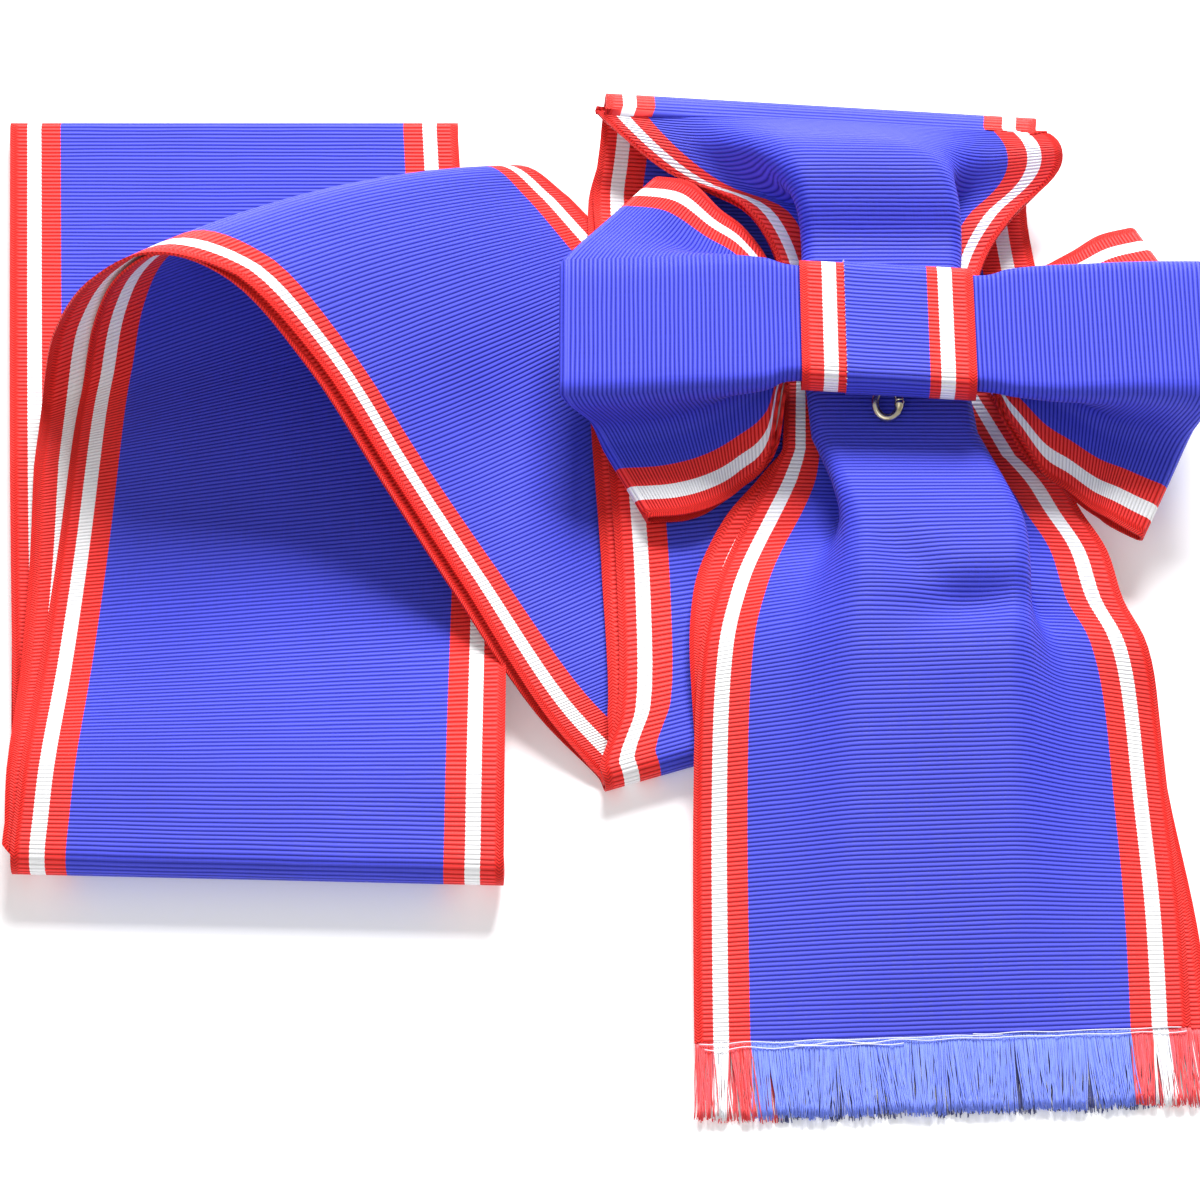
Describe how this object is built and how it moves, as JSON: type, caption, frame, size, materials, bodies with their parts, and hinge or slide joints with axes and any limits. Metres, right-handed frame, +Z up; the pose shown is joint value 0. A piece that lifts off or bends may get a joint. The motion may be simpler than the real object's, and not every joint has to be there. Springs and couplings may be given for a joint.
{
  "type": "sash of an order",
  "caption": "Folded sash of an order: a doubled loop of wide striped ribbon lying in an arch and a stack, with a knotted bow, fringed tails and a small badge ring.",
  "frame": {"origin": "middle of the underside of the whole part, on the surface it lies on", "axes": "+Z up, +X to the right across the ribbon's stack and tails, +Y away from the tails' fringed ends"},
  "size_m": [0.262, 0.238, 0.0549],
  "materials": {
    "ribbon": "ribbed silk, semi-matt",
    "front_thread": "loose thread, pale",
    "back_thread": "loose thread, dark",
    "ring_metal": "worn satin"
  },
  "bodies": {
    "root": {"sash_ribbon": "ribbon", "bow_ribbon": "ribbon", "knot_band": "ribbon", "front_fringe": "front_thread", "back_fringe": "back_thread", "ring_eye": "ring_metal", "badge_ring": "ring_metal"}
  },
  "joints": []
}
